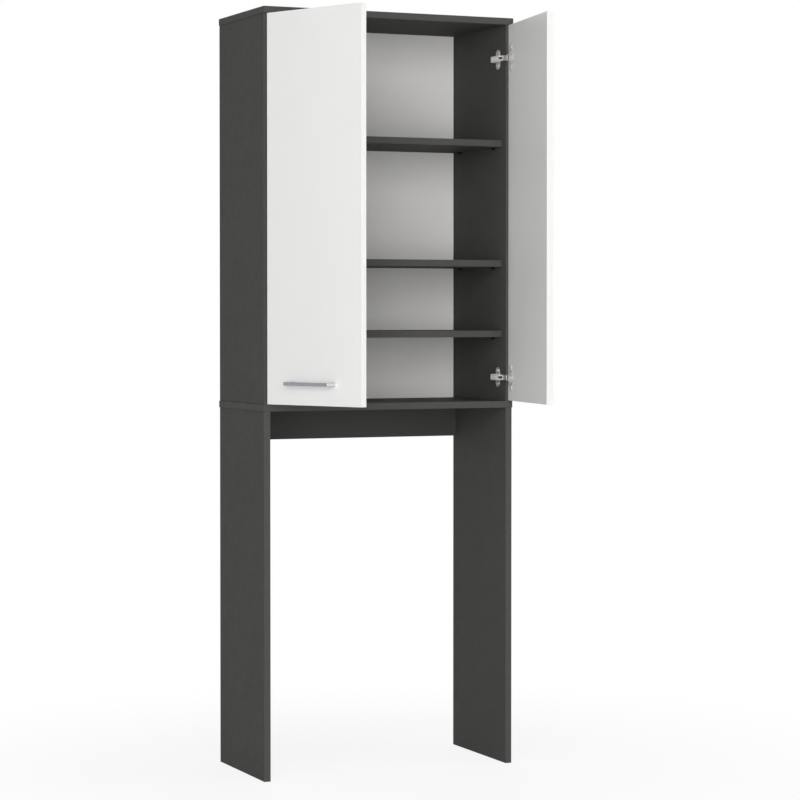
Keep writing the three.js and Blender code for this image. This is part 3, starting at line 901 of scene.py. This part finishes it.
class CABINET_OT_doors(bpy.types.Operator):
    """Draw the two white doors with eased, banded edges"""

    bl_idname = "cabinet.doors"
    bl_label = "Doors"

    def execute(self, context):
        for side, swing in DOOR.items():
            node = f"door_{side}"
            mesh, solid = merged_copy(node, f"{node}_leaf")
            low, high = swing.closed_box(node)
            # Only the edges that lie on two sides of the door's box are eased
            weight = solid.edges.layers.float.new("bevel_weight_edge")
            for edge in solid.edges:
                ends = swing.turned(np.array([vert.co for vert in edge.verts], float), swing.closed)
                limits = [np.all(np.abs(ends[:, axis] - bound[axis]) < SAME_PLACE)
                          for bound in (low, high) for axis in range(3)]
                edge[weight] = 1.0 if sum(limits) == 2 else 0.0
            for face in solid.faces:
                face.material_index = 0 if abs(np.dot(face.normal, swing.inward)) > TOWARDS else 1
            solid.to_mesh(mesh)
            solid.free()
            mesh.materials.clear()
            for finish in ("white_melamine", "white_band"):
                mesh.materials.append(bpy.data.materials[finish])
            piece = settle(mesh, f"{node}_leaf", f"{side}_door", [node])
            ease = piece.modifiers.new("Eased edges", "BEVEL")
            ease.limit_method = "WEIGHT"
            ease.width = context.scene.cabinet_sizes.door_edge
            ease.segments = RIM_STEPS
            ease.material = 1
            piece.modifiers.move(1, 0)
        return {"FINISHED"}


# Handles

class CABINET_OT_handles(bpy.types.Operator):
    """Draw the brushed bar handles and the capped screws that hold them"""

    bl_idname = "cabinet.handles"
    bl_label = "Handles"

    def execute(self, context):
        edge = context.scene.cabinet_sizes.handle_edge
        cap = turned_shell([
            (0, 0), (HANDLE_CAP_RADIUS, 0), (HANDLE_CAP_RADIUS, HANDLE_CAP_RISE / 2),
            (HANDLE_CAP_TOP_RADIUS, HANDLE_CAP_RISE), (0, HANDLE_CAP_RISE)])
        for side, swing in DOOR.items():
            node = f"handle_{side}"
            low, high = swing.closed_box(node)

            # The sides of the legs take the paler aluminium: a painted highlight
            def finish(normal):
                return 1 if abs(np.dot(normal, swing.across)) > HANDLE_END else 0

            # The channel is drawn with its web forward, then laid on the door
            outline = channel_outline((low[0], -high[1]), (high[0], -low[1]), HANDLE_LEG,
                                      HANDLE_BAR, HANDLE_CORNER, HANDLE_INNER_CORNER)
            bar = placed(slab_shell(outline, low[2], high[2], edge, finish),
                         (0, 0, 0), RIGHT, (0, -1, 0), UP)
            add_piece(f"{node}_bar", [swing.open(bar)],
                      [f"brushed_aluminium_{side}", "polished_ends"],
                      f"{side}_door", [node])
            for end in ("hinge", "free"):
                screw = f"handle_screw_{side}_{end}"
                low, high = swing.closed_box(screw)
                face = high[1] - HANDLE_SCREW_RISE
                shank = rod_shell(HANDLE_SHANK_RADIUS, low[1] - face, 0, SMALL_STEPS)
                at = ((low[0] + high[0]) / 2, face, (low[2] + high[2]) / 2)
                shells = [swing.open(placed(shell, at, UP, RIGHT, REAR)) for shell in (cap, shank)]
                add_piece(f"{screw}_capped", shells, ["white_melamine"], f"{side}_door",
                          [screw])
        return {"FINISHED"}


# Concealed hinges. `rise` points from the side board's inner face into the cabinet.

class CABINET_OT_hinge_plates(bpy.types.Operator):
    """Draw the cross-shaped plates that are screwed to the sides"""

    bl_idname = "cabinet.hinge_plates"
    bl_label = "Hinge plates"

    def execute(self, context):
        edge = context.scene.cabinet_sizes.metal_edge
        wing = np.array([WING_DEPTH, WING_HEIGHT]) / 2
        wings = slab_shell(box_outline(-wing, wing, WING_CORNER), 0, WING_THICK, edge)
        rail = board_shell((-PLATE_FRONT, -PLATE_WIDTH / 2, 0),
                           (PLATE_REAR, PLATE_WIDTH / 2, PLATE_THICK), edge * 2)
        screw = screw_shell(PLATE_SCREW_RADIUS, PLATE_SCREW_RISE)
        for side, sign, node in hinge_parts("plate"):
            low, high = node_box(node)
            face, rise = inner_face(side), (-sign, 0, 0)
            middle, height = low[1] + PLATE_FRONT, (low[2] + high[2]) / 2
            shells = [placed(shell, (face, middle, height), REAR, UP, rise)
                      for shell in (wings, rail)]
            for end in (-1, 1):
                at = (face - sign * WING_THICK, middle, height + end * PLATE_SCREW_SPACING / 2)
                shells.append(placed(screw, at, *slot_axes(PLATE_SCREW_SLOT, REAR, UP), rise))
            add_hinge_part(node, shells, "carcass")
        return {"FINISHED"}


class CABINET_OT_hinge_arms(bpy.types.Operator):
    """Draw the channel-shaped arms with their ears and screws"""

    bl_idname = "cabinet.hinge_arms"
    bl_label = "Hinge arms"

    def execute(self, context):
        edge = context.scene.cabinet_sizes.metal_edge
        fixing = screw_shell(FIX_SCREW_RADIUS, FIX_SCREW_RISE)
        sideways = screw_shell(SIDE_SCREW_RADIUS, SIDE_SCREW_RISE, slot_only=True)
        for side, sign, node in hinge_parts("arm"):
            low, high = node_box(node)
            face, rise = inner_face(side), (-sign, 0, 0)
            foot, top = sorted(abs(end[0] - face) for end in (low, high))
            half = (high[2] - low[2]) / 2
            front, rear = low[1] + ARM_FRONT, high[1]
            origin = (face, 0, (low[2] + high[2]) / 2)
            channel = channel_outline((-half, foot), (half, top), ARM_WALL, ARM_WALL,
                                      ARM_CORNER, ARM_CORNER - ARM_WALL)
            shells = [placed(slab_shell(channel, front, rear, edge), origin, UP, rise, REAR)]
            ear_low, ear_high = LINK_PIN_RISE - EYE_RADIUS, LINK_PIN_RISE + EYE_RADIUS - EAR_DROP
            ear = box_outline((low[1], ear_low), (front + EAR_LAP, ear_high), EAR_CORNER)
            bridge = box_outline((low[1] + ARM_SLOT_DEPTH, ear_low + EAR_DROP),
                                 (front + EAR_LAP, ear_high - EAR_DROP), edge)
            gap = ARM_SLOT / 2
            for outline, start, stop in ((ear, -EAR_REACH, -gap), (ear, gap, EAR_REACH),
                                         (bridge, -gap - edge, gap + edge)):
                slab = slab_shell(outline, start, stop, edge * EAR_EDGE_SHARE)
                shells.append(placed(slab, origin, REAR, rise, UP))
            block = board_shell((foot + edge, rear - BLOCK_LENGTH, BLOCK_INSET - half),
                                (top - BLOCK_INSET, rear - edge * 2, half - BLOCK_INSET), edge)
            shells.append(placed(block, origin, rise, REAR, UP))
            for screw, setback in ((fixing, FIX_SCREW_SETBACK), (sideways, SIDE_SCREW_SETBACK)):
                at = (face - sign * top, rear - setback, origin[2])
                shells.append(placed(screw, at, *slot_axes(ARM_SCREW_SLOT, REAR, UP), rise))
            add_hinge_part(node, shells, "carcass", "satin_nickel")
        return {"FINISHED"}


class CABINET_OT_hinge_links(bpy.types.Operator):
    """Draw the links between arms and cups"""

    bl_idname = "cabinet.hinge_links"
    bl_label = "Hinge links"

    def execute(self, context):
        edge = context.scene.cabinet_sizes.metal_edge
        for side, sign, node in hinge_parts("link"):
            swing = LINK[side]
            low, high = swing.closed_box(node)
            half = (high[2] - low[2]) / 2
            length = high[0] - low[0] - EYE_RADIUS - LINK_END_RADIUS
            strap = slab_shell(bowed_outline(LINK_NECK_REACH, length, LINK_THIN, sign * LINK_BOW),
                               -half, half, edge)
            end = placed(rod_shell(LINK_THIN / 2, -half, half), (length, 0, 0), RIGHT, REAR, UP)
            neck = slab_shell(strap_outline(EYE_RADIUS, LINK_NECK_THICK, LINK_STRAP / 2,
                                            LINK_NECK_REACH + LINK_STRAP),
                              -LINK_NECK_WIDTH / 2, LINK_NECK_WIDTH / 2, edge)
            pin = rod_shell(LINK_PIN_RADIUS, -half, half)
            origin = (swing.centre[0], swing.centre[1], (low[2] + high[2]) / 2)
            # The neck and pin are drawn in dark black steel: painted shade where the link meets the arm's front
            shells = [swing.open(placed(shell, origin, (-sign, 0, 0), (0, -sign, 0), UP))
                      for shell in (strap, end, neck._replace(finish=1), pin._replace(finish=1))]
            add_hinge_part(node, shells, f"{side}_hinge_links")
        return {"FINISHED"}


class CABINET_OT_hinge_cups(bpy.types.Operator):
    """Draw the cups in the doors with their flanges, cheeks and screws"""

    bl_idname = "cabinet.hinge_cups"
    bl_label = "Hinge cups"

    def execute(self, context):
        edge = context.scene.cabinet_sizes.metal_edge
        flange = slab_shell(flange_outline, 0, FLANGE_THICK, edge)
        screw = screw_shell(CUP_SCREW_RADIUS, CUP_SCREW_RISE)
        inset = FLANGE_RADIUS + FLANGE_EDGE
        inner = CUP_RADIUS - CUP_WALL
        for side, sign, node in hinge_parts("cup"):
            swing = DOOR[side]
            door_low, door_high = swing.closed_box(f"door_{side}")
            hinge_edge = door_low[0] if sign < 0 else door_high[0]
            low, high = swing.closed_box(node)
            under = high[1] - CHEEK_ABOVE_FLANGE
            depth = under - low[1]
            fillet = arc((inner - CUP_FLOOR_FILLET, -depth + CUP_WALL + CUP_FLOOR_FILLET),
                         CUP_FLOOR_FILLET, 0, -90)
            dish = turned_shell([
                (0, -depth), (CUP_RADIUS, -depth), (CUP_RADIUS, FLANGE_THICK - edge),
                (inner, FLANGE_THICK - edge), *fillet, (0, -depth + CUP_WALL)])
            cheek = slab_shell(box_outline((CHEEK_REACH[0] - inset, 0),
                                           (CHEEK_REACH[1] - inset, high[1] - under), CHEEK_CORNER),
                               -CHEEK_THICK / 2, CHEEK_THICK / 2, edge)
            shells = [flange, dish]
            for end in (-1, 1):
                shells.append(placed(screw, (0, end * CUP_SCREW_SPACING / 2, FLANGE_THICK),
                                     *slot_axes(CUP_SCREW_SLOT, RIGHT, REAR), UP))
                at = (0, end * (FLANGE_NOTCH / 2 + CHEEK_THICK / 2), 0)
                shells.append(placed(cheek, at, RIGHT, UP, REAR))
            origin = (hinge_edge - sign * inset, under, (low[2] + high[2]) / 2)
            laid = [swing.open(placed(shell, origin, (-sign, 0, 0), UP, REAR)) for shell in shells]
            add_hinge_part(node, laid, f"{side}_door")
        return {"FINISHED"}


# Stage

def only_seen(tree):
    """1 for rays from the camera, a mirror or a glass, 0 for the light that falls on things."""
    path = add_node(tree, "ShaderNodeLightPath").outputs
    mirrored = combined(tree, "MAXIMUM", path["Is Camera Ray"], path["Is Glossy Ray"])
    return combined(tree, "MAXIMUM", mirrored, path["Is Transmission Ray"])


def add_world(ambient):
    """White surroundings that light the object at the ambient strength."""
    world = bpy.data.worlds.new("Studio")
    world.use_nodes = True
    tree = world.node_tree
    tree.nodes.clear()
    light = add_node(tree, "ShaderNodeBackground", {"Color": (1, 1, 1, 1), "Strength": ambient})
    white = add_node(tree, "ShaderNodeBackground", {"Color": (1, 1, 1, 1), "Strength": 1.0})
    mix = add_node(tree, "ShaderNodeMixShader", {
        0: only_seen(tree), 1: light.outputs[0], 2: white.outputs[0]})
    add_node(tree, "ShaderNodeOutputWorld", {"Surface": mix.outputs[0]})
    bpy.context.scene.world = world


def add_floor():
    """Pale floor that keeps the object's shadow and turns as white as the surroundings with
    distance."""
    material = bpy.data.materials.new("studio_floor")
    material.use_nodes = True
    tree = material.node_tree
    tree.nodes.clear()
    matt = add_node(tree, "ShaderNodeBsdfDiffuse", {"Color": (*[FLOOR_TONE] * 3, 1)})
    white = add_node(tree, "ShaderNodeEmission", {"Strength": 1.0})
    distance = add_node(tree, "ShaderNodeVectorMath", {0: object_place(tree)}, operation="LENGTH")
    whiteness = add_node(tree, "ShaderNodeMapRange", {
        "Value": distance.outputs["Value"], "From Min": FLOOR_NEAR, "From Max": FLOOR_FAR,
        "To Min": FLOOR_NEAR_WHITENESS, "To Max": 1.0}, interpolation_type="SMOOTHSTEP")
    share = combined(tree, "MULTIPLY", only_seen(tree), whiteness.outputs["Result"])
    mix = add_node(tree, "ShaderNodeMixShader", {0: share, 1: matt.outputs[0], 2: white.outputs[0]})
    add_node(tree, "ShaderNodeOutputMaterial", {"Surface": mix.outputs[0]})
    corners = [(x * FLOOR_REACH, y * FLOOR_REACH, 0)
               for x, y in ((-1, -1), (1, -1), (1, 1), (-1, 1))]
    floor = bpy.data.meshes.new("floor")
    floor.from_pydata(corners, [], [(0, 1, 2, 3)])
    floor.materials.append(material)
    plane = bpy.data.objects.new("floor", floor)
    bpy.context.scene.collection.objects.link(plane)


def add_lamp(name, place, target, size, power):
    """Square lamp that faces a target."""
    lamp = bpy.data.lights.new(name, "AREA")
    lamp.shape = "SQUARE"
    lamp.size = size
    lamp.energy = power
    holder = bpy.data.objects.new(name, lamp)
    bpy.context.scene.collection.objects.link(holder)
    holder.location = place
    holder.rotation_euler = (target - holder.location).to_track_quat("-Z", "Y").to_euler()
    holder.visible_camera = False


class CABINET_OT_stage(bpy.types.Operator):
    """Set the floor, the lamps, the surroundings and the camera"""

    bl_idname = "cabinet.stage"
    bl_label = "Stage"

    def execute(self, context):
        stage = context.scene.cabinet_stage
        low, high = packed_box
        middle = (low + high) / 2
        add_world(stage.ambient)
        add_floor()
        for name, (place, size) in LAMPS.items():
            add_lamp(f"{name}_softbox", place, middle, size, getattr(stage, f"{name}_power"))
        camera = bpy.data.cameras.new("camera")
        camera.lens = stage.camera_lens
        camera.shift_y = stage.camera_shift
        holder = bpy.data.objects.new("camera", camera)
        context.scene.collection.objects.link(holder)
        holder.location = stage.camera_place
        holder.rotation_euler = (math.pi / 2 - stage.camera_tilt, 0, -stage.camera_turn)
        context.scene.camera = holder
        context.scene.view_settings.view_transform = "Standard"
        return {"FINISHED"}


OPERATORS = (
    CABINET_OT_finishes,
    CABINET_OT_boards,
    CABINET_OT_back_panel,
    CABINET_OT_shelf_pins,
    CABINET_OT_doors,
    CABINET_OT_handles,
    CABINET_OT_hinge_plates,
    CABINET_OT_hinge_arms,
    CABINET_OT_hinge_links,
    CABINET_OT_hinge_cups,
    CABINET_OT_stage,
)


class CABINET_PT_pieces(bpy.types.Panel):
    """Lists the steps that dress the cabinet"""

    bl_idname = "CABINET_PT_pieces"
    bl_label = "Bathroom cabinet"
    bl_space_type = "VIEW_3D"
    bl_region_type = "UI"
    bl_category = "Cabinet"

    def draw(self, context):
        for operator in OPERATORS:
            self.layout.operator(operator.bl_idname)
        for group in ("cabinet_sizes", "cabinet_colours", "cabinet_stage"):
            settings = getattr(context.scene, group)
            for name in settings.__annotations__:
                self.layout.prop(settings, name)


CLASSES = (CabinetColours, CabinetSizes, CabinetStage, *OPERATORS, CABINET_PT_pieces)


def register():
    """Add the classes and their settings to Blender."""
    for item in CLASSES:
        bpy.utils.register_class(item)
    bpy.types.Scene.cabinet_colours = PointerProperty(type=CabinetColours)
    bpy.types.Scene.cabinet_sizes = PointerProperty(type=CabinetSizes)
    bpy.types.Scene.cabinet_stage = PointerProperty(type=CabinetStage)


def unregister():
    """Take the settings and the classes out of Blender again."""
    del bpy.types.Scene.cabinet_stage
    del bpy.types.Scene.cabinet_sizes
    del bpy.types.Scene.cabinet_colours
    for item in reversed(CLASSES):
        bpy.utils.unregister_class(item)


def main():
    """Dress the cabinet."""
    register()
    for operator in OPERATORS:
        getattr(bpy.ops.cabinet, operator.bl_idname.split(".")[1])()


if __name__ == "__main__":
    main()
